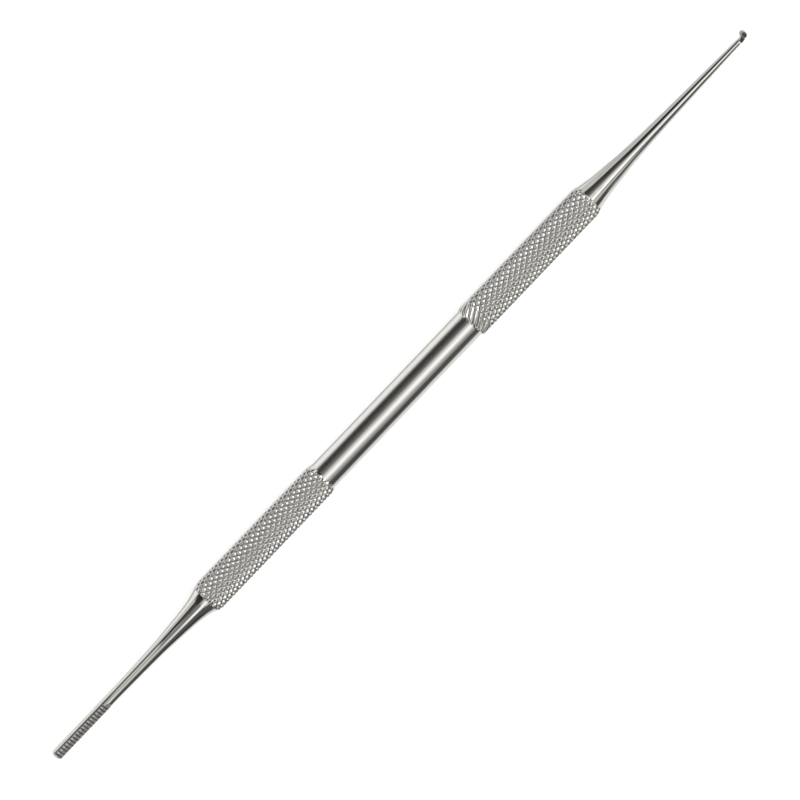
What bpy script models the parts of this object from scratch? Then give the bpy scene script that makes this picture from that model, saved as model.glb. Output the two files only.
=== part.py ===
"""Pedicure curette: a knurled steel handle with a curette in one end and a nail file in the other.

Metres, +Z up. The tool's axis lies along X with the curette towards +X. The origin is on that axis,
halfway along the whole tool, and the tool lies on its two knurled grips.
"""

import math

import bmesh
import bpy
from mathutils import Matrix, Vector

# Lengths along the tool, from the file's tip to the curette's tip
FILE_REACH = 0.0360
FILE_GRIP_LENGTH = 0.0280
WAIST_LENGTH = 0.0349
CURETTE_GRIP_LENGTH = 0.0284
CURETTE_REACH = 0.0377

# Handle: one bar, turned down at the waist and rolled with a diamond knurl at both ends
GRIP_RADIUS = 0.00300
BAR_RADIUS = 0.00265
KNURL_DEPTH = 0.00026
KNURL_PITCH = 0.00140
KNURL_STARTS = 18
GRIP_CHAMFER = 0.00100
FILE_GRIP_RUNOUT = 0.00080
CURETTE_GRIP_RUNOUT = 0.00040
SINGLE_CUT_LENGTH = 0.00300

# Sockets drilled in the handle's ends, and the spigots pressed into them
SOCKET_RADIUS = 0.00155
SOCKET_POINT_DEPTH = 0.00090
SPIGOT_LENGTH = 0.0105
SPIGOT_END_ROOM = 0.0015
SPIGOT_CLEARANCE = 0.00005
SPIGOT_CHAMFER = 0.00040
SHOULDER_GAP = 0.00005

# Curette end: a flared cone, a long tapering shank and a small round cup
CURETTE_FLARE_LENGTH = 0.0029
CURETTE_FLARE_RADIUS = 0.00212
CURETTE_CONE_LENGTH = 0.0108
CURETTE_CONE_RADIUS = 0.00136
CURETTE_SHANK_MID = 0.0210
CURETTE_SHANK_MID_RADIUS = 0.00092
CURETTE_SHANK_TIP_RADIUS = 0.00050
CUP_LENGTH = 0.00118
CUP_WIDTH = 0.00162
CUP_DEPTH = 0.00130
CUP_HOLLOW_LENGTH = 0.00066
CUP_HOLLOW_WIDTH = 0.00096
CUP_HOLLOW_DEPTH = 0.00045
CUP_RIM_HEIGHT = 0.00033
CUP_SIDE_OFFSET = 0.00030
CUP_MOUTH_TILT_DEGREES = 45.0
CUP_MOUTH_LENGTH = 0.00115
NECK_ROUND_LENGTH = 0.00050
NECK_GRINDING_RADIUS = 0.00115

# File end: a flared cone and a round shank, ground flat on two sides at the tip and toothed on one
FILE_FLARE_LENGTH = 0.0039
FILE_FLARE_RADIUS = 0.00172
FILE_CONE_LENGTH = 0.0100
FILE_CONE_RADIUS = 0.00125
FILE_SHANK_RADIUS = 0.00095
FILE_TIP_LENGTH = 0.00055
FILE_TIP_RADIUS = 0.00020
FILE_TIP_FULLNESS = 1.4
BLADE_THICKNESS = 0.00160
BLADE_LENGTH = 0.0121
BLADE_TURN_DEGREES = 39.0
BLADE_GRINDING_RADIUS = 0.0010
TOOTH_PITCH = 0.000655
TOOTHED_LENGTH = 0.01179
TOOTH_DEPTH = 0.00020
TOOTH_GAP_SHARE = 0.62
TOOTH_SKEW_DEGREES = 12.0
FIRST_TOOTH_SETBACK = 0.00052

# Fineness of the round shapes
FACETS_AROUND = 2 * KNURL_STARTS
FLARE_RINGS = 5
CONE_RINGS = 5
SHANK_RINGS = 3
TIP_RINGS = 4
CUP_FACETS = 24
ARC_STEPS = 6
CUTTER_OVERRUN = 0.0010
WELD_DISTANCE = 1e-7

# Places that follow from the lengths above
OVERALL_LENGTH = FILE_REACH + FILE_GRIP_LENGTH + WAIST_LENGTH + CURETTE_GRIP_LENGTH + CURETTE_REACH
FILE_TIP_X = -OVERALL_LENGTH / 2
CURETTE_TIP_X = OVERALL_LENGTH / 2
FILE_SEAM_X = FILE_TIP_X + FILE_REACH
WAIST_START_X = FILE_SEAM_X + FILE_GRIP_LENGTH
WAIST_END_X = WAIST_START_X + WAIST_LENGTH
CURETTE_SEAM_X = CURETTE_TIP_X - CURETTE_REACH
SPIGOT_RADIUS = SOCKET_RADIUS - SPIGOT_CLEARANCE
SOCKET_DEPTH = SPIGOT_LENGTH + SPIGOT_END_ROOM


def clear_scene():
    """Removes every object the file holds."""
    for item in list(bpy.data.objects):
        bpy.data.objects.remove(item, do_unlink=True)


def steel(name, colour, roughness):
    """A stainless steel of one colour and polish."""
    material = bpy.data.materials.new(name)
    material.use_nodes = True
    shader = material.node_tree.nodes["Principled BSDF"]
    shader.inputs["Base Color"].default_value = (*colour, 1.0)
    shader.inputs["Metallic"].default_value = 1.0
    shader.inputs["Roughness"].default_value = roughness
    return material


def handle_steel():
    """Bright turned bar, slightly warm."""
    return steel("handle_steel", (0.72, 0.71, 0.69), 0.20)


def curette_steel():
    """Mirror-polished shank and cup."""
    return steel("curette_steel", (0.76, 0.75, 0.73), 0.12)


def file_steel():
    """Polished shank with a ground blade."""
    return steel("file_steel", (0.74, 0.73, 0.71), 0.16)


def add_object(name, mesh, material=None):
    """Puts a mesh in the scene under a name, shaded smooth but for its real edges."""
    item = bpy.data.objects.new(name, mesh)
    bpy.context.collection.objects.link(item)
    mesh.shade_smooth()
    mesh.set_sharp_from_angle(angle=math.radians(30.0))
    if material is not None:
        mesh.materials.append(material)
    return item


def mesh_from(shape, name):
    """Turns a finished bmesh into a mesh whose faces point outwards."""
    bmesh.ops.recalc_face_normals(shape, faces=shape.faces)
    mesh = bpy.data.meshes.new(name)
    shape.to_mesh(mesh)
    shape.free()
    return mesh


def smooth_radius(stations, distance):
    """Radius at a distance along an outline that passes smoothly through stations (distance, radius)."""
    places = [station[0] for station in stations]
    radii = [station[1] for station in stations]
    chords = [(radii[i + 1] - radii[i]) / (places[i + 1] - places[i]) for i in range(len(places) - 1)]
    slopes = [chords[0]]
    for before, after in zip(chords, chords[1:]):
        both_fall = before * after > 0
        slopes.append(2 * before * after / (before + after) if both_fall else 0.0)
    slopes.append(chords[-1])
    # The flare leaves its base more steeply than the chord to its foot
    slopes[0] = (3 * chords[0] - slopes[1]) / 2
    span = max(i for i in range(len(chords)) if i == 0 or distance >= places[i])
    width = places[span + 1] - places[span]
    t = (distance - places[span]) / width
    rise = radii[span + 1] - radii[span]
    return (
        radii[span]
        + rise * t * t * (3 - 2 * t)
        + width * t * (1 - t) * (slopes[span] * (1 - t) - slopes[span + 1] * t)
    )


def outline_from(stations, ring_counts):
    """Points (distance, radius) along a smooth outline, with a chosen number of rings per stretch."""
    points = []
    for (start, _), (end, _), rings in zip(stations, stations[1:], ring_counts):
        for step in range(rings):
            distance = start + (end - start) * step / rings
            points.append((distance, smooth_radius(stations, distance)))
    points.append(stations[-1])
    return points


def ring_place(x, radius, index):
    """A corner of a ring round the axis. Every ring has a facet, and not a corner, straight below."""
    angle = 2 * math.pi * (index + 1 / 2) / FACETS_AROUND
    return Vector((x, -radius * math.sin(angle), radius * math.cos(angle)))


def turned_shape(outline):
    """Spins an outline of (x, radius) points, which starts and ends on the axis, once round X."""
    shape = bmesh.new()
    corners = [shape.verts.new(ring_place(x, radius, 0)) for x, radius in outline]
    edges = [shape.edges.new(pair) for pair in zip(corners, corners[1:])]
    bmesh.ops.spin(
        shape,
        geom=corners + edges,
        cent=(0.0, 0.0, 0.0),
        axis=(1.0, 0.0, 0.0),
        angle=2 * math.pi,
        steps=FACETS_AROUND,
    )
    bmesh.ops.remove_doubles(shape, verts=shape.verts, dist=WELD_DISTANCE)
    return shape


def spigot_outline():
    """The pressed-in spigot from its far end to the shoulder, as (distance behind the seam, radius)."""
    return [
        (SPIGOT_LENGTH, 0.0),
        (SPIGOT_LENGTH, SPIGOT_RADIUS - SPIGOT_CHAMFER),
        (SPIGOT_LENGTH - SPIGOT_CHAMFER, SPIGOT_RADIUS),
        (-SHOULDER_GAP, SPIGOT_RADIUS),
    ]


def ring(shape, x, radii):
    """A ring of corners round the axis, with a radius for each."""
    return [shape.verts.new(ring_place(x, radius, index)) for index, radius in enumerate(radii)]


def plain_ring(shape, x, radius):
    """A ring of corners all at one radius."""
    return ring(shape, x, [radius] * FACETS_AROUND)


def join_rings(shape, first, second):
    """A band of four-sided faces between two rings."""
    count = len(first)
    for index in range(count):
        after = (index + 1) % count
        shape.faces.new((first[index], first[after], second[after], second[index]))


def join_knurl_rows(shape, first, second, row, single_cut):
    """A band of triangles between two knurl rows, split along the ridges that cross it.

    Crests stand where row and corner numbers add up to an even number, so a ridge runs from crest to
    crest. Where only one roller has cut, every split follows that roller's hand.
    """
    count = len(first)
    for index in range(count):
        after = (index + 1) % count
        crest_comes_first = (row + index) % 2 == 0
        if crest_comes_first and not single_cut:
            shape.faces.new((first[index], first[after], second[after]))
            shape.faces.new((first[index], second[after], second[index]))
        else:
            shape.faces.new((first[index], first[after], second[index]))
            shape.faces.new((first[after], second[after], second[index]))


def knurl_rows(shape, start, end, single_cut_from):
    """Rolls the diamond knurl between two places and returns its first and last rows."""
    row_count = max(2, round(2 * (end - start) / KNURL_PITCH))
    spacing = (end - start) / row_count
    rows = []
    for row in range(row_count + 1):
        radii = [
            GRIP_RADIUS if (row + index) % 2 == 0 else GRIP_RADIUS - KNURL_DEPTH
            for index in range(FACETS_AROUND)
        ]
        rows.append(ring(shape, start + row * spacing, radii))
    for row, (first, second) in enumerate(zip(rows, rows[1:])):
        middle = start + (row + 1 / 2) * spacing
        join_knurl_rows(shape, first, second, row, single_cut=middle < single_cut_from)
    return rows[0], rows[-1]


def socket(shape, mouth_ring, seam_x, inward):
    """Drills a blind socket, with the cone that a drill leaves, behind a mouth ring."""
    floor_ring = plain_ring(shape, seam_x + inward * SOCKET_DEPTH, SOCKET_RADIUS)
    join_rings(shape, mouth_ring, floor_ring)
    point = shape.verts.new((seam_x + inward * (SOCKET_DEPTH + SOCKET_POINT_DEPTH), 0.0, 0.0))
    for index in range(FACETS_AROUND):
        shape.faces.new((floor_ring[index], floor_ring[(index + 1) % FACETS_AROUND], point))


def build_handle():
    """The handle: two knurled grips, the smooth waist between them and a socket in each end."""
    shape = bmesh.new()
    file_mouth = plain_ring(shape, FILE_SEAM_X, SOCKET_RADIUS)
    file_end = plain_ring(shape, FILE_SEAM_X, BAR_RADIUS)
    file_knurl = knurl_rows(
        shape,
        FILE_SEAM_X + GRIP_CHAMFER,
        WAIST_START_X - FILE_GRIP_RUNOUT,
        single_cut_from=FILE_SEAM_X,
    )
    waist_start = plain_ring(shape, WAIST_START_X, BAR_RADIUS)
    waist_end = plain_ring(shape, WAIST_END_X, BAR_RADIUS)
    curette_knurl = knurl_rows(
        shape,
        WAIST_END_X + CURETTE_GRIP_RUNOUT,
        CURETTE_SEAM_X - GRIP_CHAMFER,
        single_cut_from=WAIST_END_X + SINGLE_CUT_LENGTH,
    )
    curette_end = plain_ring(shape, CURETTE_SEAM_X, BAR_RADIUS)
    curette_mouth = plain_ring(shape, CURETTE_SEAM_X, SOCKET_RADIUS)
    bands = [
        (file_mouth, file_end),
        (file_end, file_knurl[0]),
        (file_knurl[1], waist_start),
        (waist_start, waist_end),
        (waist_end, curette_knurl[0]),
        (curette_knurl[1], curette_end),
        (curette_end, curette_mouth),
    ]
    for first, second in bands:
        join_rings(shape, first, second)
    socket(shape, file_mouth, FILE_SEAM_X, inward=1)
    socket(shape, curette_mouth, CURETTE_SEAM_X, inward=-1)
    return add_object("handle", mesh_from(shape, "handle"), handle_steel())


def add_cutter(name, shape):
    """A shape that only cuts or joins: drawn as wire and left out of renders."""
    cutter = bpy.data.objects.new(name, mesh_from(shape, name))
    bpy.context.collection.objects.link(cutter)
    cutter.hide_render = True
    cutter.display_type = "WIRE"
    return cutter


def add_boolean(target, tool, operation):
    """Cuts, or joins, one shape with another."""
    modifier = target.modifiers.new(tool.name, "BOOLEAN")
    modifier.operation = operation
    modifier.solver = "EXACT"
    modifier.object = tool


def tilted_up(degrees):
    """The direction square to the tool that leans from straight up towards -Y."""
    lean = math.radians(degrees)
    return Vector((0.0, -math.sin(lean), math.cos(lean)))


def across_from(normal):
    """The direction square to both the tool and a normal of it."""
    return Vector((1.0, 0.0, 0.0)).cross(normal)


def egg_shape(centre, normal, length, width, depth):
    """A faceted ball drawn out to a length along the tool, a width across it and a depth along a normal."""
    turn = Matrix((Vector((1.0, 0.0, 0.0)), across_from(normal), normal)).transposed().to_4x4()
    shape = bmesh.new()
    bmesh.ops.create_uvsphere(
        shape,
        u_segments=CUP_FACETS,
        v_segments=CUP_FACETS // 2,
        radius=1 / 2,
        matrix=Matrix.Translation(centre) @ turn @ Matrix.Diagonal((length, width, depth, 1)),
    )
    return shape


def grinding_cutter(name, tip_x, inward, normal, length, level, height, width, wheel_radius):
    """What a wheel grinds off one side of a round end, down to a level above the tool's axis.

    The ground flat starts at the tip, runs inward for a length, and then leaves the steel along the
    wheel's own arc, up to a height.
    """
    arc_angle = math.acos(max(-1, 1 - (height - level) / wheel_radius))
    side = [(-CUTTER_OVERRUN, level)]
    for step in range(ARC_STEPS + 1):
        angle = arc_angle * step / ARC_STEPS
        side.append((length + wheel_radius * math.sin(angle), level + wheel_radius * (1 - math.cos(angle))))
    side.append((side[-1][0], height + CUTTER_OVERRUN))
    side.append((-CUTTER_OVERRUN, height + CUTTER_OVERRUN))

    across = across_from(normal)
    shape = bmesh.new()
    corners = []
    for along, rise in side:
        corners.append(Vector((tip_x + inward * along, 0.0, 0.0)) + normal * rise - across * width / 2)
    profile = shape.faces.new([shape.verts.new(corner) for corner in corners])
    swept = bmesh.ops.extrude_face_region(shape, geom=[profile])
    moved = [item for item in swept["geom"] if isinstance(item, bmesh.types.BMVert)]
    bmesh.ops.translate(shape, verts=moved, vec=across * width)
    return add_cutter(name, shape)


def build_curette_end():
    """The curette end: spigot, flared cone, tapering shank and a hollow cup behind a ground neck."""
    mouth = tilted_up(CUP_MOUTH_TILT_DEGREES)
    cup = Vector((CURETTE_TIP_X - CUP_LENGTH / 2, CUP_SIDE_OFFSET, 0.0))
    rim_centre = cup + mouth * CUP_RIM_HEIGHT
    shank_length = CURETTE_REACH - CUP_LENGTH
    stations = [
        (SHOULDER_GAP, BAR_RADIUS),
        (CURETTE_FLARE_LENGTH, CURETTE_FLARE_RADIUS),
        (CURETTE_CONE_LENGTH, CURETTE_CONE_RADIUS),
        (CURETTE_SHANK_MID, CURETTE_SHANK_MID_RADIUS),
        (shank_length, CURETTE_SHANK_TIP_RADIUS),
    ]
    outline = [(CURETTE_SEAM_X - back, radius) for back, radius in spigot_outline()]
    rings = (FLARE_RINGS, CONE_RINGS, SHANK_RINGS, SHANK_RINGS)
    outline += [(CURETTE_SEAM_X + distance, radius) for distance, radius in outline_from(stations, rings)]
    for step in range(1, TIP_RINGS + 1):
        angle = math.pi / 2 * step / TIP_RINGS
        x = CURETTE_SEAM_X + shank_length + NECK_ROUND_LENGTH * math.sin(angle)
        outline.append((x, CURETTE_SHANK_TIP_RADIUS * math.cos(angle)))
    curette = add_object("curette_end", mesh_from(turned_shape(outline), "curette_end"), curette_steel())

    bowl = egg_shape(cup, mouth, CUP_LENGTH, CUP_WIDTH, CUP_DEPTH)
    add_boolean(curette, add_cutter("cup_bowl", bowl), "UNION")

    rim_level = rim_centre.dot(mouth)
    mouth_cutter = grinding_cutter(
        "cup_mouth_cutter",
        CURETTE_TIP_X,
        inward=-1,
        normal=mouth,
        length=CUP_MOUTH_LENGTH,
        level=rim_level,
        height=CURETTE_SHANK_MID_RADIUS,
        width=CUP_WIDTH + CUP_SIDE_OFFSET + CUTTER_OVERRUN,
        wheel_radius=NECK_GRINDING_RADIUS,
    )
    add_boolean(curette, mouth_cutter, "DIFFERENCE")

    hollow = egg_shape(rim_centre, mouth, CUP_HOLLOW_LENGTH, CUP_HOLLOW_WIDTH, 2 * CUP_HOLLOW_DEPTH)
    add_boolean(curette, add_cutter("cup_hollow_cutter", hollow), "DIFFERENCE")
    return curette


def file_tip_outline():
    """The blunt tip from the shank to its end, as (distance from the end, radius).

    A fullness of 1 makes a straight chamfer and 2 an elliptical nose.
    """
    points = []
    for step in range(1, TIP_RINGS + 1):
        angle = math.pi / 2 * step / TIP_RINGS
        along_share = math.sin(angle) ** (2 / FILE_TIP_FULLNESS)
        radius_share = max(0, math.cos(angle)) ** (2 / FILE_TIP_FULLNESS)
        radius = FILE_TIP_RADIUS + (FILE_SHANK_RADIUS - FILE_TIP_RADIUS) * radius_share
        points.append((FILE_TIP_LENGTH * (1 - along_share), radius))
    return points


def blade_flat_cutter(name, normal):
    """One ground side of the blade."""
    return grinding_cutter(
        name,
        FILE_TIP_X,
        inward=1,
        normal=normal,
        length=BLADE_LENGTH,
        level=BLADE_THICKNESS / 2,
        height=FILE_CONE_RADIUS,
        width=2 * FILE_SHANK_RADIUS + CUTTER_OVERRUN,
        wheel_radius=BLADE_GRINDING_RADIUS,
    )


def teeth_cutter(normal):
    """A row of skewed V-shaped wedges that cut the gaps between the file's teeth."""
    across = across_from(normal)
    half_gap = TOOTH_PITCH * TOOTH_GAP_SHARE / 2
    land = BLADE_THICKNESS / 2
    half_width = FILE_SHANK_RADIUS + CUTTER_OVERRUN / 2
    lean = math.tan(math.radians(TOOTH_SKEW_DEGREES)) * half_width
    wedge = [
        (0.0, land - TOOTH_DEPTH),
        (2 * half_gap, land + TOOTH_DEPTH),
        (-2 * half_gap, land + TOOTH_DEPTH),
    ]
    shape = bmesh.new()
    for tooth in range(round(TOOTHED_LENGTH / TOOTH_PITCH)):
        middle = FILE_TIP_X + FIRST_TOOTH_SETBACK + tooth * TOOTH_PITCH
        ends = []
        for side in (-1, 1):
            foot = Vector((middle + side * lean, 0.0, 0.0)) + across * side * half_width
            corners = [foot + Vector((along, 0.0, 0.0)) + normal * rise for along, rise in wedge]
            ends.append([shape.verts.new(corner) for corner in corners])
        shape.faces.new(ends[0])
        shape.faces.new(reversed(ends[1]))
        join_rings(shape, ends[0], ends[1])
    return add_cutter("teeth_cutter", shape)


def build_file_end():
    """The file end: spigot, flared cone, shank and a blade with a toothed flat and a smooth one."""
    blade_end = FILE_REACH - BLADE_LENGTH
    stations = [
        (SHOULDER_GAP, BAR_RADIUS),
        (FILE_FLARE_LENGTH, FILE_FLARE_RADIUS),
        (FILE_CONE_LENGTH, FILE_CONE_RADIUS),
        (blade_end, FILE_SHANK_RADIUS),
        (FILE_REACH - FILE_TIP_LENGTH, FILE_SHANK_RADIUS),
    ]
    outline = [(FILE_SEAM_X + back, radius) for back, radius in spigot_outline()]
    rings = (FLARE_RINGS, CONE_RINGS, SHANK_RINGS, 1)
    outline += [(FILE_SEAM_X - distance, radius) for distance, radius in outline_from(stations, rings)]
    outline += [(FILE_TIP_X + back, radius) for back, radius in file_tip_outline()]
    outline.append((FILE_TIP_X, 0.0))
    blade = add_object("file_end", mesh_from(turned_shape(outline), "file_end"), file_steel())

    toothed_side = tilted_up(BLADE_TURN_DEGREES)
    add_boolean(blade, blade_flat_cutter("toothed_flat_cutter", toothed_side), "DIFFERENCE")
    add_boolean(blade, blade_flat_cutter("back_flat_cutter", -toothed_side), "DIFFERENCE")
    add_boolean(blade, teeth_cutter(toothed_side), "DIFFERENCE")
    return blade


def build():
    """Makes the whole tool."""
    clear_scene()
    build_handle()
    build_curette_end()
    build_file_end()


build()
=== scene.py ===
"""Looks of a double-ended pedicure curette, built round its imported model.

Metres, +Z up. The tool's axis lies along X with the curette towards +X, and the tool lies on its grips.
"""

import logging
import math
from dataclasses import dataclass
from enum import Enum
from typing import Any, ClassVar, Iterable, Sequence

import bmesh
import bpy
import numpy as np
from bmesh.types import BMesh, BMVert
from bpy.types import ID, Material, Mesh, Node, NodeSocket, NodeTree, Object
from mathutils import Matrix, Vector


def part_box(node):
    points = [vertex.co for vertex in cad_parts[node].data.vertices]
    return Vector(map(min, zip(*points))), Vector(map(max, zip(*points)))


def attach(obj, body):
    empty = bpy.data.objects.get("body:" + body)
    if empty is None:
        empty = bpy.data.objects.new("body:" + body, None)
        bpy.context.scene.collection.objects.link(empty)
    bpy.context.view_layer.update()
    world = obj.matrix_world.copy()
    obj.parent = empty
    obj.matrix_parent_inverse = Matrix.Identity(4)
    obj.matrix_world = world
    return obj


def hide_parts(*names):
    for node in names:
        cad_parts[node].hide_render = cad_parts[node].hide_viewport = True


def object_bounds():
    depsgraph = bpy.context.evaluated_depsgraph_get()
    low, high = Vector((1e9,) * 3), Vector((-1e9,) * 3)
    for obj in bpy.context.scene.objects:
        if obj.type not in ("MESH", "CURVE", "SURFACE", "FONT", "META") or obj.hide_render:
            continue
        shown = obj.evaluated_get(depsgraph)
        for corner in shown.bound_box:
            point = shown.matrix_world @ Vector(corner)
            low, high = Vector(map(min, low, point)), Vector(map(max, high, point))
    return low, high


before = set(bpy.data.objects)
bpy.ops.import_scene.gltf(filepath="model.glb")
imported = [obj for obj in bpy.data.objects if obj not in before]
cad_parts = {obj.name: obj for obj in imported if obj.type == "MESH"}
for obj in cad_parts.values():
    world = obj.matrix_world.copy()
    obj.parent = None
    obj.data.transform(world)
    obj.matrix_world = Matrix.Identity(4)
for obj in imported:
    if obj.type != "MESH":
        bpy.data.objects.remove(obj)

LOG = logging.getLogger("pedicure_curette")
CAD_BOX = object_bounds()
BODY = "root"
MM = 0.001
LEAST_RADIUS = 0.01 * MM
MERGE_DISTANCE = 1e-7
CUT_TOLERANCE = 1e-8
ROUNDING = 1e-6
OUT_OF_REACH = 1.0
ALONG = Vector((1.0, 0.0, 0.0))
WHITE = (1.0, 1.0, 1.0, 1.0)
KNURLED = "knurled"
SECOND_HAND = "second_hand"
ROLL = "roll"
PAINTED_SHADE_MASK = "painted_shade_mask"

Colour = tuple[float, float, float]
Pair = tuple[float, float]
Inputs = dict[str | int, object]


class Polish(Enum):
    """How a steel surface was last worked, as its lines to a metre along x, y and z."""

    MIRROR = (120.0, 4000.0, 4000.0)
    TURNED = (180.0, 6000.0, 6000.0)


class Signal:
    """A value inside a node tree that can be added, multiplied and so on like a number."""

    def __init__(self, maker: "TreeMaker", socket: NodeSocket) -> None:
        """Keeps the output that holds the value and the maker of its tree."""
        self.maker = maker
        self.socket = socket

    def __add__(self, other: "Signal | float") -> "Signal":
        """The sum of two values."""
        return self.maker.math("ADD", self, other)

    def __sub__(self, other: "Signal | float") -> "Signal":
        """This value less another."""
        return self.maker.math("SUBTRACT", self, other)

    def __rsub__(self, other: float) -> "Signal":
        """A number less this value."""
        return self.maker.math("SUBTRACT", other, self)

    def __mul__(self, other: "Signal | float") -> "Signal":
        """The product of two values."""
        return self.maker.math("MULTIPLY", self, other)

    def __truediv__(self, other: "Signal | float") -> "Signal":
        """This value over another."""
        return self.maker.math("DIVIDE", self, other)


def with_settings(item: Any, **settings: object) -> Any:
    """An item of Blender's with some of its properties set."""
    for name, value in settings.items():
        setattr(item, name, value)
    return item


class TreeMaker:
    """Adds nodes to a geometry, material or world tree and wires them."""

    def __init__(self, tree: NodeTree) -> None:
        """Keeps the tree that the nodes go into."""
        self.tree = tree

    def feed(self, node: Node, inputs: Inputs) -> None:
        """Gives some of a node's inputs a value, or wires a signal or a socket to them.

        Args:
            node: the node.
            inputs: a signal, an output or a plain value for each input's name or place.
        """
        for name, value in inputs.items():
            if isinstance(value, Signal):
                value = value.socket
            if isinstance(value, NodeSocket):
                self.tree.links.new(value, node.inputs[name])
            else:
                node.inputs[name].default_value = value

    def node(self, kind: str, inputs: Inputs | None = None, **settings: object) -> Node:
        """Adds one node.

        Args:
            kind: the node's type name.
            inputs: what its inputs take.
            settings: properties to set on it.

        Returns:
            The new node.
        """
        made = with_settings(self.tree.nodes.new(kind), **settings)
        self.feed(made, inputs or {})
        return made

    def value(self, kind: str, output: str | int, inputs: Inputs | None = None, **settings: object) -> Signal:
        """What one output of a new node gives."""
        return Signal(self, self.node(kind, inputs, **settings).outputs[output])

    def math(self, operation: str, *values: "Signal | float") -> Signal:
        """The result of one operation on one to three values."""
        return self.value("ShaderNodeMath", 0, dict(enumerate(values)), operation=operation)

    def mapped(self, value: Signal, low: float, high: float, to_low: float, to_high: float) -> Signal:
        """A value mapped smoothly from the range low to high onto another, and held at its ends."""
        ranges = dict(enumerate((value, low, high, to_low, to_high)))
        return self.value("ShaderNodeMapRange", 0, ranges, interpolation_type="SMOOTHSTEP")

    def split(self, vector: NodeSocket) -> list[Signal]:
        """A vector's x, y and z."""
        parts = self.node("ShaderNodeSeparateXYZ", {0: vector}).outputs
        return [Signal(self, part) for part in parts]

    def joined(self, kind: str, parts: Iterable[Signal]) -> NodeSocket:
        """A vector or a colour from its three parts, by a node of one kind."""
        return self.node(kind, dict(enumerate(parts))).outputs[0]

    def mixed(self, share: object, first: object, second: object, blend: str = "MIX") -> NodeSocket:
        """A colour that goes from the first to its blend with the second by a share."""
        parts = {"Factor": share, "A": first, "B": second}
        return self.node("ShaderNodeMix", parts, data_type="RGBA", blend_type=blend).outputs["Result"]

    def attribute(self, name: str) -> Signal:
        """A number that each of the mesh's points carries."""
        return self.value("GeometryNodeInputNamedAttribute", "Attribute", {"Name": name}, data_type="FLOAT")


def placed(name: str, data: ID) -> Object:
    """A new object in the scene that holds a mesh, a light or a camera."""
    item = bpy.data.objects.new(name, data)
    bpy.context.scene.collection.objects.link(item)
    return item


def evaluated(item: Object) -> Mesh:
    """A mesh of what an object's modifiers make of it."""
    return bpy.data.meshes.new_from_object(item.evaluated_get(bpy.context.evaluated_depsgraph_get()))


class ShapingTree:
    """A Geometry Nodes tree that reshapes a blank, with a named input for each of its sizes."""

    def __init__(self, name: str, sizes: dict[str, float], steel: Material) -> None:
        """Makes the tree's inputs and its first nodes.

        Args:
            name: the tree's name.
            sizes: what each named input takes.
            steel: the material that the result gets.
        """
        self.tree = bpy.data.node_groups.new(name, "GeometryNodeTree")
        self.make = TreeMaker(self.tree)
        self.values = {**sizes, "Steel": steel}
        numbers = dict.fromkeys(sizes, "NodeSocketFloat")
        kinds = {"Blank": "NodeSocketGeometry", **numbers, "Steel": "NodeSocketMaterial"}
        for label, kind in kinds.items():
            self.tree.interface.new_socket(label, in_out="INPUT", socket_type=kind)
        self.tree.interface.new_socket("Shaped", in_out="OUTPUT", socket_type="NodeSocketGeometry")
        self.start = self.make.node("NodeGroupInput")
        self.x, self.y, self.z = self.make.split(self.make.node("GeometryNodeInputPosition").outputs[0])
        self.radius = self.make.math("SQRT", self.y * self.y + self.z * self.z)
        self.angle = self.make.math("ARCTAN2", self.y * -1.0, self.z)

    def size(self, name: str) -> Signal:
        """The value of a named input."""
        return Signal(self.make, self.start.outputs[name])

    def finish(self, x: Signal, scale: Signal, notes: dict[str, Signal]) -> None:
        """Moves the blank's points, notes values on them and ends the tree.

        Args:
            x: how far along the axis each point goes.
            scale: what its distance from the axis is multiplied by.
            notes: the value to keep on it, by attribute name.
        """
        place = self.make.joined("ShaderNodeCombineXYZ", (x, self.y * scale, self.z * scale))
        blank = self.start.outputs["Blank"]
        # The values are caught before the points move, because a field is read where it is used
        for name, value in notes.items():
            kept = {"Geometry": blank, "Name": name, "Value": value}
            keep = self.make.node("GeometryNodeStoreNamedAttribute", kept, data_type="FLOAT", domain="POINT")
            blank = keep.outputs[0]
        moved = self.make.node("GeometryNodeSetPosition", {"Geometry": blank, "Position": place})
        real = self.make.node("GeometryNodeRealizeInstances", {0: moved.outputs[0]})
        steel = {"Geometry": real.outputs[0], "Material": self.start.outputs["Steel"]}
        dressed = self.make.node("GeometryNodeSetMaterial", steel)
        self.make.node("NodeGroupOutput", {0: dressed.outputs[0]})

    def shape(self, blank: Mesh) -> Mesh:
        """Runs the tree on a blank.

        Args:
            blank: the mesh to reshape.

        Returns:
            The reshaped mesh, with nothing left live on it.
        """
        holder = placed("blank", blank)
        modifier = holder.modifiers.new("shape", "NODES")
        modifier.node_group = self.tree
        for item in self.tree.interface.items_tree:
            if item.in_out == "INPUT" and item.name in self.values:
                modifier[item.identifier] = self.values[item.name]
        shaped = evaluated(holder)
        bpy.data.objects.remove(holder)
        bpy.data.meshes.remove(blank)
        return shaped


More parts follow.
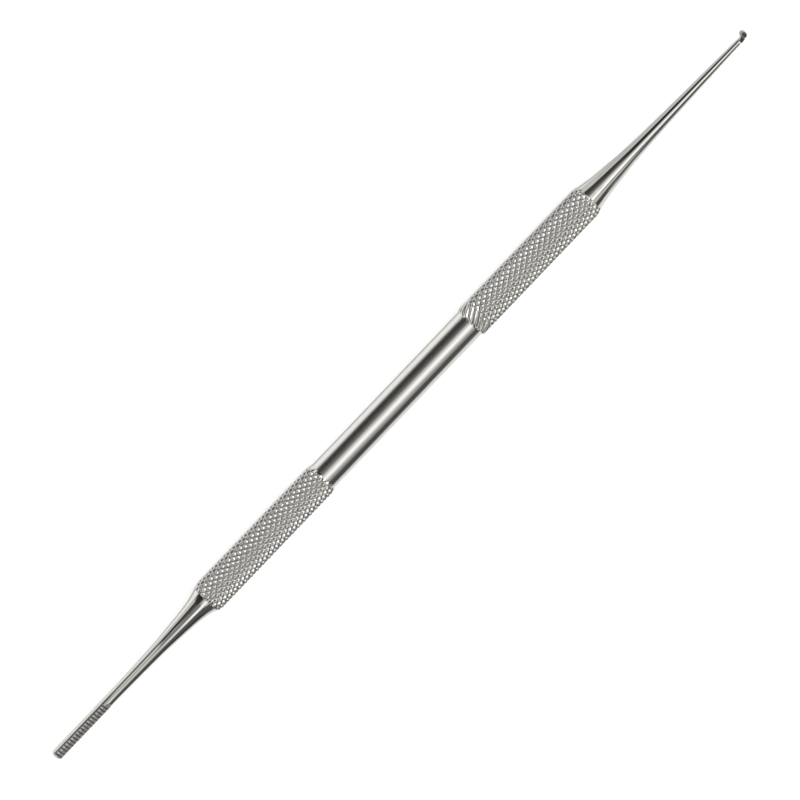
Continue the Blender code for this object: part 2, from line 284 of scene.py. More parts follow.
@dataclass(frozen=True)
class SteelFinish:
    """Stainless steel of one polish, with the last wheel's fine lines, duller where it is knurled, and with
    painted shade that darkens its grooves, gaps and hollow.
    """

    name: str
    polish: Polish
    roughness: float
    knurl_roughness: float
    # Painted shade: how strongly the base colour is darkened where the shade mask is set.
    painted_pit_shade: float
    roughness_spread: float = 0.04
    line_height: float = 2e-6
    wave_height: float = 6e-6
    knurl_smoothing: float = 0.9
    tint_share: float = 0.06
    colour: Colour = (0.80, 0.793, 0.768)
    # The dark grey that the painted shade multiplies the colour towards.
    painted_shade_colour: Colour = (0.30, 0.29, 0.27)
    cloud_scale: Colour = (90.0, 260.0, 260.0)
    wave_scale: Colour = (45.0, 420.0, 420.0)

    def material(self) -> Material:
        """Builds the material.

        Returns:
            A procedural metal that reads object coordinates.
        """
        steel = bpy.data.materials.new(self.name)
        steel.use_nodes = True
        make = TreeMaker(steel.node_tree)
        cloud = self._noise(make, self.cloud_scale, detail=4.0)
        lines = self._noise(make, self.polish.value, detail=3.0)
        waves = self._noise(make, self.wave_scale, detail=1.0)
        knurled = make.value("ShaderNodeAttribute", "Fac", attribute_name=KNURLED)
        painted_shade_mask = make.value("ShaderNodeAttribute", "Fac", attribute_name=PAINTED_SHADE_MASK)
        roughness = cloud * self.roughness_spread + lines * self.roughness_spread + self.roughness
        roughness = roughness + knurled * self.knurl_roughness
        height = lines * self.line_height + waves * self.wave_height
        height = height * (knurled * -self.knurl_smoothing + 1.0)
        darker = (part * (1.0 - self.tint_share) for part in self.colour)
        tinted = make.mixed(cloud, (*self.colour, 1.0), (*darker, 1.0))
        # Painted shade: the base colour is multiplied towards a dark grey in knurl grooves, file tooth gaps
        # and the cup's hollow, as shade that falls there.
        colour = make.mixed(painted_shade_mask * self.painted_pit_shade, tinted, (*self.painted_shade_colour, 1.0), blend="MULTIPLY")
        bump = make.node("ShaderNodeBump", {"Strength": 1.0, "Distance": 1.0, "Height": height}).outputs[0]
        looks = {"Metallic": 1.0, "Base Color": colour, "Roughness": roughness, "Normal": bump}
        make.feed(steel.node_tree.nodes["Principled BSDF"], looks)
        return steel

    @staticmethod
    def _noise(make: TreeMaker, scale: Colour, detail: float) -> Signal:
        """Noise over the object, stretched by a scale for each direction.

        Args:
            make: adds nodes to the material's tree.
            scale: repeats a metre along x, y and z.
            detail: how many finer layers it has.

        Returns:
            The noise, centred on zero.
        """
        place = make.node("ShaderNodeTexCoord").outputs["Object"]
        stretched = make.node("ShaderNodeMapping", {"Vector": place, "Scale": scale}).outputs[0]
        layout = {"Vector": stretched, "Scale": 1.0, "Detail": detail}
        return make.value("ShaderNodeTexNoise", 0, layout) - 0.5


class Outline:
    """A turned outline that passes smoothly through a few stations."""

    def __init__(self, stations: Sequence[Pair]) -> None:
        """Works out the slope at each station.

        Args:
            stations: distances along the axis, rising, each with its radius.
        """
        self.places, self.radii = np.array(stations).T
        chords = np.diff(self.radii) / np.diff(self.places)
        before, after = chords[:-1], chords[1:]
        same_way = before * after > 0
        total = np.where(same_way, before + after, 1.0)
        inner = np.where(same_way, 2 * before * after / total, 0.0)
        self.slopes = np.concatenate(([(3 * chords[0] - inner[0]) / 2], inner, [chords[-1]]))

    def radius(self, places: np.ndarray | float) -> np.ndarray:
        """The outline's radius.

        Args:
            places: one or more distances along the axis.

        Returns:
            A radius for each of them.
        """
        span = np.clip(np.searchsorted(self.places, places, side="right") - 1, 0, len(self.places) - 2)
        width = self.places[span + 1] - self.places[span]
        t = (places - self.places[span]) / width
        rise = self.radii[span + 1] - self.radii[span]
        bend = width * t * (1 - t) * (self.slopes[span] * (1 - t) - self.slopes[span + 1] * t)
        return self.radii[span] + rise * t * t * (3 - 2 * t) + bend


@dataclass
class Ring:
    """One ring of a turned blank."""

    x: float
    radius: float
    knurled: float = 0.0
    second_hand: float = 0.0
    roll: float = 0.0


def turned_blank(name: str, rings: Sequence[Ring], angles: np.ndarray) -> Mesh:
    """Builds a closed turned mesh whose first and last rings are capped at the axis.

    Args:
        name: the mesh's name.
        rings: the rings, from one end of the outline to the other.
        angles: where each ring's corners stand, from straight up towards -Y.

    Returns:
        The mesh, with each ring's knurl shares stored on its points.
    """
    around, last = len(angles), (len(rings) - 1) * len(angles)
    x = np.array([[ring.x] for ring in rings])
    radius = np.array([[ring.radius] for ring in rings])
    grid = np.dstack(np.broadcast_arrays(x, -radius * np.sin(angles), radius * np.cos(angles)))
    corners = [*grid.reshape(-1, 3).tolist(), (rings[0].x, 0.0, 0.0), (rings[-1].x, 0.0, 0.0)]
    first_pole, last_pole = last + around, last + around + 1
    sides = [(near, (near + 1) % around) for near in range(around)]
    faces = []
    for low in range(0, last, around):
        high = low + around
        faces += [(low + near, low + far, high + far, high + near) for near, far in sides]
    for near, far in sides:
        faces += [(first_pole, far, near), (last_pole, last + near, last + far)]
    mesh = bpy.data.meshes.new(name)
    mesh.from_pydata(corners, [], faces)
    for label in (KNURLED, SECOND_HAND, ROLL):
        share = np.repeat([getattr(ring, label) for ring in rings], around)
        note(mesh, label, np.concatenate((share, (0.0, 0.0))))
    return mesh


def note(mesh: Mesh, label: str, values: np.ndarray) -> None:
    """Stores a number on each of a mesh's points, under a label."""
    layer = mesh.attributes.get(label) or mesh.attributes.new(label, "FLOAT", "POINT")
    layer.data.foreach_set("value", values.astype(np.float32))


def even_angles(count: int) -> np.ndarray:
    """Directions evenly spaced round the axis, starting half a step from straight up."""
    return (np.arange(count) + 0.5) * math.tau / count


def steps(start: float, end: float, spacing: float) -> np.ndarray:
    """Places from start up to but not including end, at most a spacing apart."""
    count = max(1, math.ceil(abs(end - start) / spacing - ROUNDING))
    return np.linspace(start, end, count, endpoint=False)


@dataclass
class SteelPiece:
    """A piece of the tool, whose edges stay sharp where they turn by more than so many degrees."""

    name: ClassVar[str]
    sharp_degrees: ClassVar[float]

    def build(self, finish: SteelFinish) -> Object:
        """Shapes the piece and puts it in the scene, where it stands for the model's node of its name.

        Args:
            finish: the steel's finish, which the piece's material slot is named after.

        Returns:
            The piece.
        """
        mesh = self._mesh(finish.material())
        shape = bmesh.new()
        shape.from_mesh(mesh)
        bmesh.ops.remove_doubles(shape, verts=shape.verts, dist=MERGE_DISTANCE)
        bmesh.ops.recalc_face_normals(shape, faces=shape.faces)
        shape.to_mesh(mesh)
        shape.free()
        mesh.shade_smooth()
        mesh.set_sharp_from_angle(angle=math.radians(self.sharp_degrees))
        mesh.name = node = self.name
        slot = finish.name
        piece = placed(node, mesh)
        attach(piece, BODY)
        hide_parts(node)
        LOG.info("%s: %d faces in %s", node, len(mesh.polygons), slot)
        return piece

    def _mesh(self, steel: Material) -> Mesh:
        """The finished mesh in its steel, which each piece makes in its own way."""
        raise NotImplementedError


@dataclass(frozen=True)
class Spigot:
    """The round pin behind a working end's cone, and the socket it is pressed into."""

    radius: float = 1.50 * MM
    length: float = 10.5 * MM
    chamfer: float = 0.4 * MM
    socket_radius: float = 1.55 * MM
    socket_depth: float = 12.0 * MM
    drill_point: float = 0.9 * MM
    drill_point_radius: float = 0.02 * MM

    def rings(self, seam: float, inward: float) -> list[Ring]:
        """The pin's rings from its far end to the seam, where inward is 1 or -1, the way into the handle."""
        back = ((self.length, self.chamfer), (self.length - self.chamfer, 0.0), (0.0, 0.0))
        return [Ring(seam + inward * depth, self.radius - less) for depth, less in back]

    def socket_rings(self, seam: float, inward: float) -> list[Ring]:
        """The socket's rings from the drill's point to the seam, where inward is the way into the handle."""
        wall = [Ring(seam + inward * depth, self.socket_radius) for depth in (self.socket_depth, 0.0)]
        return [Ring(seam + inward * (self.socket_depth + self.drill_point), self.drill_point_radius), *wall]


@dataclass(frozen=True)
class Grip:
    """One knurled grip: its size, how its knurl is turned and moved, and where only one hand is cut."""

    length: float
    runout: float
    roll: float
    shift: float = 0.0
    single_cut: float = 0.0


@dataclass
class Handle(SteelPiece):
    """The knurled bar: a file grip, a smooth waist and a curette grip."""

    name: ClassVar[str] = "handle"
    sharp_degrees: ClassVar[float] = 80.0
    file_seam: float
    curette_seam: float
    file_grip: Grip = Grip(28.0 * MM, runout=0.95 * MM, roll=math.radians(10.0))
    curette_grip: Grip = Grip(28.4 * MM, 0.42 * MM, math.radians(9.3), shift=-0.63 * MM, single_cut=3.0 * MM)
    grip_radius: float = 2.985 * MM
    bar_radius: float = 2.65 * MM
    end_face_radius: float = 2.63 * MM
    seam_radius: float = 2.74 * MM
    seam_chamfer: float = 1.1 * MM
    chamfer_bend: Pair = (0.45, 0.55)
    runout_bend: Pair = (0.35, 0.45)
    knurl_starts: int = 18
    knurl_pitch: float = 1.40 * MM
    knurl_depth: float = 0.37 * MM
    groove_sharpness: float = 2.2
    seam_depth_share: float = 0.45
    knurl_unevenness: float = 0.15
    unevenness_level: float = 0.3
    unevenness_repeats: float = 0.6
    seed: float = 4.0
    second_hand_depth: float = 0.85
    second_hand_start: float = 0.45
    samples_per_ridge: int = 10
    waist_step: float = 5.0 * MM
    bar_margin: float = 0.15 * MM
    spigot: Spigot = Spigot()

    def _mesh(self, steel: Material) -> Mesh:
        """The turned bar with its knurl rolled into it."""
        angles = even_angles(self.knurl_starts * self.samples_per_ridge)
        return self._knurl_tree(steel).shape(turned_blank("handle_blank", self._rings(), angles))

    def _rings(self) -> list[Ring]:
        """The bar's rings, from the bottom of one socket to the bottom of the other."""
        waist_start = self.file_seam + self.file_grip.length
        waist_end = self.curette_seam - self.curette_grip.length
        smooth_end = waist_end - self.bar_margin
        smooth = steps(waist_start + self.bar_margin, smooth_end, self.waist_step)
        return [
            *self.spigot.socket_rings(self.file_seam, inward=1.0),
            *self._grip_rings(self.file_grip, self.file_seam, waist_start),
            *(Ring(x, self.bar_radius) for x in (*smooth, smooth_end)),
            *reversed(self._grip_rings(self.curette_grip, self.curette_seam, waist_end)),
            *reversed(self.spigot.socket_rings(self.curette_seam, inward=-1.0)),
        ]

    def _grip_rings(self, grip: Grip, seam: float, waist: float) -> list[Ring]:
        """One grip's rings, from the seam with the working end to the waist.

        Args:
            grip: the grip.
            seam: where it meets the cone.
            waist: where it meets the waist.

        Returns:
            The rings.
        """
        inward = math.copysign(1.0, waist - seam)
        length = abs(waist - seam)
        rise, step = self.grip_radius - self.seam_radius, self.grip_radius - self.bar_radius
        (bend, bend_rise), (fall, fall_rise) = self.chamfer_bend, self.runout_bend
        outline = Outline(
            [
                (0.0, self.seam_radius),
                (bend * self.seam_chamfer, self.seam_radius + bend_rise * rise),
                (self.seam_chamfer, self.grip_radius),
                (length - grip.runout, self.grip_radius),
                (length - fall * grip.runout, self.bar_radius + fall_rise * step),
                (length, self.bar_radius),
            ]
        )
        spacing = self.knurl_pitch / self.samples_per_ridge
        # The rings keep step with the ridges, so that a crest runs from corner to corner
        first = math.ceil(seam * inward / spacing) * spacing * inward
        rings = [Ring(seam, self.end_face_radius)]
        for x in (seam, *np.arange(first, waist, spacing * inward), waist):
            distance = abs(x - seam)
            left = length - distance
            started = self.seam_depth_share + (1.0 - self.seam_depth_share) * distance / self.seam_chamfer
            knurled = min(1.0, started) * min(1.0, left / grip.runout)
            second_hand = 1.0
            if grip.single_cut > 0.0:
                share = (left / grip.single_cut - self.second_hand_start) / (1.0 - self.second_hand_start)
                second_hand = min(1.0, max(0.0, share)) * self.second_hand_depth
            radius = float(outline.radius(distance))
            rings.append(Ring(float(x), radius, max(0.0, knurled), second_hand, grip.roll))
        return rings

    def _knurl_tree(self, steel: Material) -> ShapingTree:
        """The tree that rolls two hands of grooves into a turned blank.

        Args:
            steel: the handle's material.

        Returns:
            The tree.
        """
        sizes = {
            "Starts": float(self.knurl_starts),
            "Pitch": self.knurl_pitch,
            "Depth": self.knurl_depth,
            "Groove sharpness": self.groove_sharpness,
            "Unevenness": self.knurl_unevenness,
            "Second grip shift": self.curette_grip.shift,
            "Seed": self.seed,
        }
        shaping = ShapingTree("diamond_knurl", sizes, steel)
        make, size = shaping.make, shaping.size
        turn = (shaping.angle - make.attribute(ROLL)) / math.tau * size("Starts")
        on_second_grip = make.math("GREATER_THAN", shaping.x, (self.file_seam + self.curette_seam) / 2)
        along = (shaping.x - on_second_grip * size("Second grip shift")) / size("Pitch")
        first_hand = self._groove(shaping, turn + along)
        second_hand = self._groove(shaping, turn - along) * make.attribute(SECOND_HAND)

        layout = {"W": size("Seed"), "Scale": self.unevenness_repeats / self.knurl_pitch}
        noise = make.value("ShaderNodeTexNoise", 0, layout, noise_dimensions="4D")
        uneven = 1.0 - (noise - self.unevenness_level) * size("Unevenness")
        cut = make.math("MAXIMUM", first_hand, second_hand) * uneven * make.attribute(KNURLED)
        scale = 1.0 - cut * size("Depth") / make.math("MAXIMUM", shaping.radius, LEAST_RADIUS)
        # The cut's depth share is kept as the mask of the painted shade in the knurl's grooves.
        shaping.finish(shaping.x, scale, {PAINTED_SHADE_MASK: cut})
        return shaping

    @staticmethod
    def _groove(shaping: ShapingTree, phase: Signal) -> Signal:
        """The depth share of one hand of grooves, 1 on their floors, by how many have gone by."""
        wave = shaping.make.math("COSINE", phase * math.tau) * 0.5 + 0.5
        return shaping.make.math("POWER", wave, shaping.size("Groove sharpness"))


@dataclass
class WorkingEnd(SteelPiece):
    """What both working ends have: a spigot in the handle and a turned cone that starts at the seam."""

    tip: float
    seam: float
    cone_mm: tuple[Pair, ...] = ()
    fine_length: float = 4.0 * MM
    fine_step: float = 0.15 * MM
    shank_step: float = 0.5 * MM
    shoulder_radius: float = 2.64 * MM
    shoulder_gap: float = 0.02 * MM
    spigot: Spigot = Spigot()

    @property
    def length(self) -> float:
        """How far the end stands out of the handle."""
        return abs(self.tip - self.seam)

    def _outline(self, *shank: Pair) -> Outline:
        """The outline by distance from the seam: the shoulder, the cone and some stations of the shank."""
        cone = ((place * MM, radius * MM) for place, radius in self.cone_mm)
        return Outline([(self.shoulder_gap, self.shoulder_radius), *cone, *shank])

    def _turned(self, outline: Outline, shank_end: float, further: Sequence[float]) -> list[Ring]:
        """The rings from the spigot's far end outwards.

        Args:
            outline: the outline of the cone and the shank.
            shank_end: how far from the seam the evenly stepped shank ends.
            further: the places from there on.

        Returns:
            The rings.
        """
        cone = steps(self.shoulder_gap, self.fine_length, self.fine_step)
        places = np.concatenate((cone, steps(self.fine_length, shank_end, self.shank_step), further))
        outward = math.copysign(1.0, self.tip - self.seam)
        rings = self.spigot.rings(self.seam, inward=-outward)
        return rings + [Ring(self.seam + outward * p, r) for p, r in zip(places, outline.radius(places))]


@dataclass
class FileEnd(WorkingEnd):
    """The straight nail file: a flared cone, a round shank and a toothed flat at its tip."""

    name: ClassVar[str] = "file_end"
    sharp_degrees: ClassVar[float] = 34.0
    cone_mm: tuple[Pair, ...] = (
        (0.6, 2.43), (1.9, 2.08), (3.9, 1.78), (8.0, 1.43), (11.3, 1.20), (16.2, 1.06),
    )
    fine_length: float = 4.2 * MM
    shank_radius: float = 0.95 * MM
    tip_length: float = 0.55 * MM
    tip_radius: float = 0.20 * MM
    tip_fullness: float = 1.4
    tip_rings: int = 18
    blade_length: float = 12.1 * MM
    blade_blend: float = 1.0 * MM
    toothed_level: float = 0.80 * MM
    back_level: float = 0.80 * MM
    least_facing: float = 0.05
    grinding_radius: float = 1.0 * MM
    blade_turn: float = math.radians(39.0)
    tooth_pitch: float = 0.646 * MM
    tooth_count: int = 18
    first_tooth: float = 0.69 * MM
    tooth_depth: float = 0.30 * MM
    tooth_gap_share: float = 0.62
    gap_floor_share: float = 0.25
    tooth_skew: float = math.radians(4.0)
    skew_fade: Pair = (0.2 * MM, 0.9 * MM)
    edge_round: float = 0.012 * MM
    flat_margin: float = 0.02 * MM
    samples_per_tooth: int = 20
    around: int = 144
    corner_crowding: float = 0.55

    def _mesh(self, steel: Material) -> Mesh:
        """The turned file end with its blade ground and toothed."""
        blank = turned_blank("file_blank", self._rings(), self._angles())
        return self._blade_tree(steel).shape(blank)

    def _angles(self) -> np.ndarray:
        """Directions of the corners, closer together over the toothed flat."""
        turned = math.tau * ((np.arange(self.around) + 0.5) / self.around)
        return self.blade_turn + turned + self.corner_crowding * np.sin(turned)

    def _rings(self) -> list[Ring]:
        """The rings, from the spigot's far end to the tip."""
        blade_start = self.length - self.blade_length - self.blade_blend
        blade_end = self.length - self.tip_length
        outline = self._outline((blade_start, self.shank_radius), (blade_end, self.shank_radius))
        blade = steps(blade_start, blade_end, self.tooth_pitch / self.samples_per_tooth)
        rings = self._turned(outline, blade_start, blade)
        quarter = np.linspace(0.0, 1.0, self.tip_rings) * math.pi / 2
        power = 2 / self.tip_fullness
        for along, out in zip(np.sin(quarter) ** power, np.clip(np.cos(quarter), 0.0, 1.0) ** power):
            radius = self.tip_radius + (self.shank_radius - self.tip_radius) * out
            rings.append(Ring(self.tip + self.tip_length * (1 - along), radius))
        return rings

    def _blade_tree(self, steel: Material) -> ShapingTree:
        """The tree that grinds two flats on a round blank and cuts slanted teeth across one of them.

        Args:
            steel: the file's material.

        Returns:
            The tree.
        """
        sizes = {
            "Tip": self.tip,
            "Turn": self.blade_turn,
            "Blade length": self.blade_length,
            "Toothed level": self.toothed_level,
            "Back level": self.back_level,
            "Wheel radius": self.grinding_radius,
            "Pitch": self.tooth_pitch,
            "First tooth": self.first_tooth,
            "Tooth count": float(self.tooth_count),
            "Tooth depth": self.tooth_depth,
            "Gap share": self.tooth_gap_share,
            "Gap floor share": self.gap_floor_share,
            "Slant": math.tan(self.tooth_skew),
            "Edge round": self.edge_round,
        }
        shaping = ShapingTree("toothed_blade", sizes, steel)
        make, size = shaping.make, shaping.size
        from_tip = shaping.x - size("Tip")
        angle = shaping.angle - size("Turn")
        facing = make.math("COSINE", angle)

        past = make.math("MAXIMUM", from_tip - size("Blade length"), 0.0)
        lift = past * past / (size("Wheel radius") * 2.0)
        tooth = (from_tip - size("First tooth")) / size("Pitch")
        across_gap = make.math("PINGPONG", tooth, 0.5) * 2.0 / size("Gap share")
        in_row = make.math("COMPARE", tooth, (size("Tooth count") - 1.0) / 2.0, size("Tooth count") / 2.0)
        groove = make.mapped(across_gap, size("Gap floor share"), 1.0, 1.0, 0.0) * in_row
        toothed = self._flat(make, size("Toothed level") + lift - groove * size("Tooth depth"), facing)
        back = self._flat(make, size("Back level") + lift, facing * -1.0)
        ground = make.math("SMOOTH_MIN", shaping.radius, toothed, size("Edge round"))
        ground = make.math("SMOOTH_MIN", ground, back, size("Edge round"))
        on_end = make.math("LESS_THAN", from_tip, size("Blade length") + self.blade_blend)
        ground = shaping.radius + (ground - shaping.radius) * on_end

        fade = (self.blade_length + reach for reach in self.skew_fade)
        on_blade = 1.0 - make.mapped(from_tip, *fade, 0.0, 1.0)
        start = make.mapped(from_tip, 0.0, self.tip_length, 0.0, 1.0)
        slide = ground * make.math("SINE", angle) * size("Slant") * on_blade * start
        scale = ground / make.math("MAXIMUM", shaping.radius, LEAST_RADIUS)
        on_flat = make.mapped(shaping.radius - ground, 0.0, self.flat_margin, 0.0, 1.0)
        # The gaps between the teeth on the flat are kept as the mask of the painted shade.
        shaping.finish(shaping.x + slide, scale, {KNURLED: on_flat, PAINTED_SHADE_MASK: groove * on_flat})
        return shaping

    def _flat(self, make: TreeMaker, level: Signal, facing: Signal) -> Signal:
        """How far from the axis a flat at a level lies in each direction, and out of reach behind it."""
        behind = make.math("LESS_THAN", facing, self.least_facing)
        return level / make.math("MAXIMUM", facing, self.least_facing) + behind * OUT_OF_REACH


@dataclass
class CuretteEnd(WorkingEnd):
    """The curette: a flared cone, a long tapering shank and a small hollow cup behind a ground neck."""

    name: ClassVar[str] = "curette_end"
    sharp_degrees: ClassVar[float] = 60.0
    cone_mm: tuple[Pair, ...] = (
        (1.2, 2.42), (2.85, 2.13), (6.15, 1.78), (9.4, 1.45), (12.7, 1.25), (19.3, 0.98), (25.9, 0.78),
    )
    shank_tip_radius: float = 0.50 * MM
    cup_length: float = 1.18 * MM
    cup_width: float = 1.62 * MM
    cup_depth: float = 1.30 * MM
    hollow_length: float = 0.60 * MM
    hollow_width: float = 1.00 * MM
    hollow_depth: float = 0.52 * MM
    hollow_shift: float = 0.03 * MM
    # Where the painted shade of the hollow ends and how softly it fades, in shares of the hollow's size.
    hollow_fade: Pair = (1.12, 0.10)
    rim_height: float = 0.33 * MM
    side_offset: float = 0.36 * MM
    mouth_turn: float = math.radians(35.0)
    satin_length: float = 1.15 * MM
    satin_fade: float = 0.3
    mouth_length: float = 0.95 * MM
    neck_round: float = 0.5 * MM
    neck_wheel_radius: float = 1.9 * MM
    cutter_top: float = 1.2 * MM
    cutter_front: float = 1.0 * MM
    cutter_width: float = 3.0 * MM
    cutter_steps: int = 28
    head_length: float = 2.5 * MM
    head_overlap: float = 0.4 * MM
    voxel: float = 0.02 * MM
    around: int = 128
    ball_segments: tuple[int, int] = (96, 48)
    nose_steps: tuple[int, int] = (24, 14)

    def _mesh(self, steel: Material) -> Mesh:
        """Turns the shank and forms the cup on it.

        Args:
            steel: the curette's material.

        Returns:
            The curette end.
        """
        rings = self._turned(self._shank, self._join, (self._join,))
        shank = turned_blank("curette_blank", rings, even_angles(self.around))
        shape = bmesh.new()
        shape.from_mesh(shank)
        pole = max(shape.verts, key=lambda corner: (corner.co.x, -corner.co.yz.length))
        bmesh.ops.delete(shape, geom=[pole], context="VERTS")
        head = self._head()
        shape.from_mesh(head)
        bmesh.ops.bridge_loops(shape, edges=[edge for edge in shape.edges if edge.is_boundary])
        mesh = bpy.data.meshes.new("curette_end")
        shape.to_mesh(mesh)
        shape.free()
        for part in (shank, head):
            bpy.data.meshes.remove(part)
        self._note_finish(mesh)
        mesh.materials.append(steel)
        return mesh

    def _note_finish(self, mesh: Mesh) -> None:
        """Marks the satin head, and the hollow whose steel gets painted shade, on the mesh's points.

        Args:
            mesh: the whole end's mesh, changed in place.
        """
        place = np.empty(len(mesh.vertices) * 3, dtype=np.float32)
        mesh.vertices.foreach_get("co", place)
        place = place.reshape(-1, 3).astype(float)
        satin = (self.satin_length - (self.tip - place[:, 0])) / (self.satin_fade * self.satin_length)
        way = np.array(self._mouth_way)
        off = place - np.array(self._hollow_centre)
        radius = np.sqrt(
            (off[:, 0] * 2 / self.hollow_length) ** 2
            + (off @ np.cross(ALONG, way) * 2 / self.hollow_width) ** 2
            + (off @ way / self.hollow_depth) ** 2
        )
        edge, fade = self.hollow_fade
        note(mesh, KNURLED, np.clip(satin, 0.0, 1.0))
        # Painted shade: the cup's hollow is darkened, fading out just past its edge.
        note(mesh, PAINTED_SHADE_MASK, np.clip((edge - radius) / fade, 0.0, 1.0))

    @property
    def _join(self) -> float:
        """Where the turned shank ends and the formed head starts, from the seam."""
        return self.length - self.head_length

    @property
    def _mouth_way(self) -> Vector:
        """The way that the cup's mouth faces."""
        return Vector((0.0, -math.sin(self.mouth_turn), math.cos(self.mouth_turn)))

    @property
    def _cup_centre(self) -> Vector:
        """The middle of the cup's ball."""
        return Vector((self.tip - self.cup_length / 2, self.side_offset, 0.0))

    @property
    def _hollow_centre(self) -> Vector:
        """The middle of the ball that hollows the cup, on its rim."""
        return self._cup_centre + self._mouth_way * self.rim_height + ALONG * self.hollow_shift

    @property
    def _shank(self) -> Outline:
        """The cone's and shank's outline, by distance from the seam."""
        return self._outline((self.length - self.cup_length, self.shank_tip_radius))

    def _head(self) -> Mesh:
        """The cup and the last of the shank, as one smooth skin that is open towards the handle.

        Returns:
            The mesh, whose edge lies on the shank's last ring.
        """
        body = self._solid("head", self._nose())
        cup = self._egg(self._cup_centre, self.cup_length, self.cup_width, self.cup_depth)
        hollow = self._egg(self._hollow_centre, self.hollow_length, self.hollow_width, 2 * self.hollow_depth)
        tools = []
        cuts = (("UNION", cup), ("DIFFERENCE", self._mouth_cutter()), ("DIFFERENCE", hollow))
        for operation, shape in cuts:
            tools.append(self._solid(operation.lower(), shape))
            cut = body.modifiers.new(operation.lower(), "BOOLEAN")
            with_settings(cut, operation=operation, solver="EXACT", object=tools[-1])
        skin = body.modifiers.new("skin", "REMESH")
        with_settings(skin, mode="VOXEL", voxel_size=self.voxel / MM)
        with_settings(body.modifiers.new("smooth", "SMOOTH"), factor=0.5, iterations=3)
        head = evaluated(body)
        for item in (body, *tools):
            bpy.data.objects.remove(item)
        head.transform(Matrix.Scale(MM, 4))
        self._fit_to_shank(head)
        return head

    def _nose(self) -> BMesh:
        """The rounded end of the shank inside the cup."""
        end = self.length - self.cup_length
        straight, rounded = self.nose_steps
        places = np.linspace(self._join - self.head_overlap, end, straight)
        rings = [Ring(self.seam + p, r) for p, r in zip(places, self._shank.radius(places))]
        for angle in np.linspace(0.0, math.pi / 2, rounded)[1:-1]:
            x = self.seam + end + self.neck_round * math.sin(angle)
            rings.append(Ring(x, self.shank_tip_radius * math.cos(angle)))
        blank = turned_blank("nose", rings, even_angles(self.around))
        shape = bmesh.new()
        shape.from_mesh(blank)
        bpy.data.meshes.remove(blank)
        return shape

    @staticmethod
    def _solid(name: str, shape: BMesh) -> Object:
        """A closed shape as an object, enlarged to one unit a millimetre.

        Args:
            name: the object's name.
            shape: the shape, in metres.

        Returns:
            The object.
        """
        bmesh.ops.recalc_face_normals(shape, faces=shape.faces)
        mesh = bpy.data.meshes.new(name)
        shape.to_mesh(mesh)
        shape.free()
        mesh.transform(Matrix.Scale(1 / MM, 4))
        return placed(name, mesh)

    def _egg(self, centre: Vector, length: float, width: float, depth: float) -> BMesh:
        """A ball drawn out to three sizes.

        Args:
            centre: its middle.
            length: its size along the tool.
            width: its size across the cup's mouth.
            depth: its size the way the mouth faces.

        Returns:
            The shape.
        """
        way = self._mouth_way
        u, v = self.ball_segments
        turn = Matrix((ALONG, ALONG.cross(way), way)).transposed().to_4x4()
        place = Matrix.Translation(centre) @ turn @ Matrix.Diagonal((length, width, depth, 1.0))
        shape = bmesh.new()
        bmesh.ops.create_uvsphere(shape, u_segments=u, v_segments=v, radius=0.5, matrix=place)
        return shape

    def _mouth_cutter(self) -> BMesh:
        """What the wheel grinds off to open the cup and relieve the neck behind it.

        Returns:
            The shape.
        """
        way, wheel, top = self._mouth_way, self.neck_wheel_radius, self.cutter_top
        level = self._cup_centre.dot(way) + self.rim_height
        side = [(-self.cutter_front, level)]
        for angle in np.linspace(0.0, math.acos(1.0 - (top - level) / wheel), self.cutter_steps):
            rise = wheel * (1.0 - math.cos(angle))
            side.append((self.mouth_length + wheel * math.sin(angle), level + rise))
        side += [(side[-1][0], 2.0 * top), (-self.cutter_front, 2.0 * top)]
        across = ALONG.cross(way) * self.cutter_width
        corners = [Vector((self.tip - back, 0.0, 0.0)) + way * rise - across / 2 for back, rise in side]
        shape = bmesh.new()
        profile = shape.faces.new([shape.verts.new(corner) for corner in corners])
        swept = bmesh.ops.extrude_face_region(shape, geom=[profile])
        moved = [item for item in swept["geom"] if isinstance(item, BMVert)]
        bmesh.ops.translate(shape, verts=moved, vec=across)
        return shape

    def _fit_to_shank(self, head: Mesh) -> None:
        """Cuts the head square where the shank ends and eases its skin onto the shank's outline.

        Args:
            head: the head's mesh, changed in place.
        """
        start = Vector((self.seam + self._join, 0.0, 0.0))
        shape = bmesh.new()
        shape.from_mesh(head)
        whole = [*shape.verts, *shape.edges, *shape.faces]
        plane = {"plane_co": start, "plane_no": ALONG, "dist": CUT_TOLERANCE}
        bmesh.ops.bisect_plane(shape, geom=whole, clear_inner=True, **plane)
        outline = self._shank
        for corner in shape.verts:
            past = corner.co.x - (self.seam + self._join)
            if past < self.head_overlap:
                wanted = float(outline.radius(corner.co.x - self.seam))
                share = 1.0 - max(0.0, past) / self.head_overlap
                scale = 1.0 + (wanted / corner.co.yz.length - 1.0) * share
                corner.co.y *= scale
                corner.co.z *= scale
        shape.to_mesh(head)
        shape.free()


@dataclass(frozen=True)
class Card:
    """A soft-edged card in the room, placed by its angles across and along the tool, in degrees."""

    across: float
    across_half: float
    along: float
    along_half: float
    softness: float
    brightness: float

    def over(self, light: Signal, across: Signal, along: Signal) -> Signal:
        """Puts the card in front of the room.

        Args:
            light: the room's brightness so far.
            across: the direction across the tool, in degrees.
            along: the direction along it, in degrees.

        Returns:
            The brightness with the card.
        """
        share = 1.0
        sides = ((across, self.across, self.across_half), (along, self.along, self.along_half))
        for angle, middle, half in sides:
            off = light.maker.math("ABSOLUTE", angle - middle)
            inner, outer = half - self.softness / 2, half + self.softness / 2
            share = light.maker.mapped(off, inner, outer, 1.0, 0.0) * share
        return light + share * (self.brightness - light)


